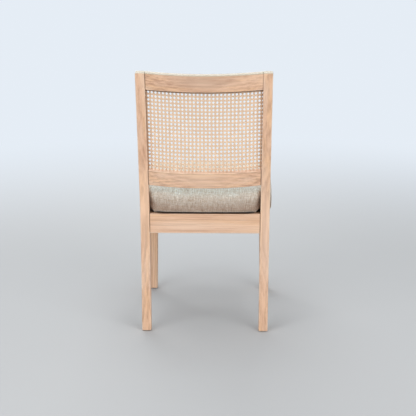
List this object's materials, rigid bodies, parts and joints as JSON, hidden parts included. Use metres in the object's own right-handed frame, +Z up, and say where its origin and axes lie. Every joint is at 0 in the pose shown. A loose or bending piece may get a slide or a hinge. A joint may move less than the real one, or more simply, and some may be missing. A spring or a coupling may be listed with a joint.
{
  "type": "cane back dining chair",
  "caption": "Armless dining chair with a raked back of woven cane between bowed rails, tenoned wood frame and upholstered seat.",
  "frame": {"origin": "on the floor, under the middle of the chair's bounding box", "axes": "+Z up, +X towards the sitter's left, the chair faces -Y"},
  "size_m": [0.452, 0.5626, 0.869],
  "materials": {
    "washed_wood": "pale washed hardwood, satin",
    "woven_cane": "natural woven cane",
    "tweed": "grey and beige tweed weave",
    "foam": "seat foam",
    "plywood": "bare plywood",
    "black_cloth": "thin black dust cloth",
    "zinc_plate": "zinc plated",
    "nylon": "moulded nylon"
  },
  "bodies": {
    "root": {"rear_leg_left": "washed_wood", "rear_leg_right": "washed_wood", "front_leg_left": "washed_wood", "front_leg_right": "washed_wood", "rear_seat_rail": "washed_wood", "front_seat_rail": "washed_wood", "side_seat_rail_left": "washed_wood", "side_seat_rail_right": "washed_wood", "crest_rail": "washed_wood", "lower_back_rail": "washed_wood", "cane_panel": "woven_cane", "cane_bead_top": "washed_wood", "cane_bead_bottom": "washed_wood", "cane_bead_left": "washed_wood", "cane_bead_right": "washed_wood", "seat_cover": "tweed", "seat_foam": "foam", "seat_board": "plywood", "dust_cover": "black_cloth", "corner_block_rear_left": "washed_wood", "corner_block_rear_right": "washed_wood", "corner_block_front_left": "washed_wood", "corner_block_front_right": "washed_wood", "rail_screw_rear_left": "zinc_plate", "rail_screw_rear_right": "zinc_plate", "rail_screw_front_left": "zinc_plate", "rail_screw_front_right": "zinc_plate", "side_screw_rear_left": "zinc_plate", "side_screw_rear_right": "zinc_plate", "side_screw_front_left": "zinc_plate", "side_screw_front_right": "zinc_plate", "seat_screw_rear_left": "zinc_plate", "seat_screw_rear_right": "zinc_plate", "seat_screw_front_left": "zinc_plate", "seat_screw_front_right": "zinc_plate", "foot_glide_rear_left": "nylon", "foot_glide_rear_right": "nylon", "foot_glide_front_left": "nylon", "foot_glide_front_right": "nylon"}
  },
  "joints": []
}
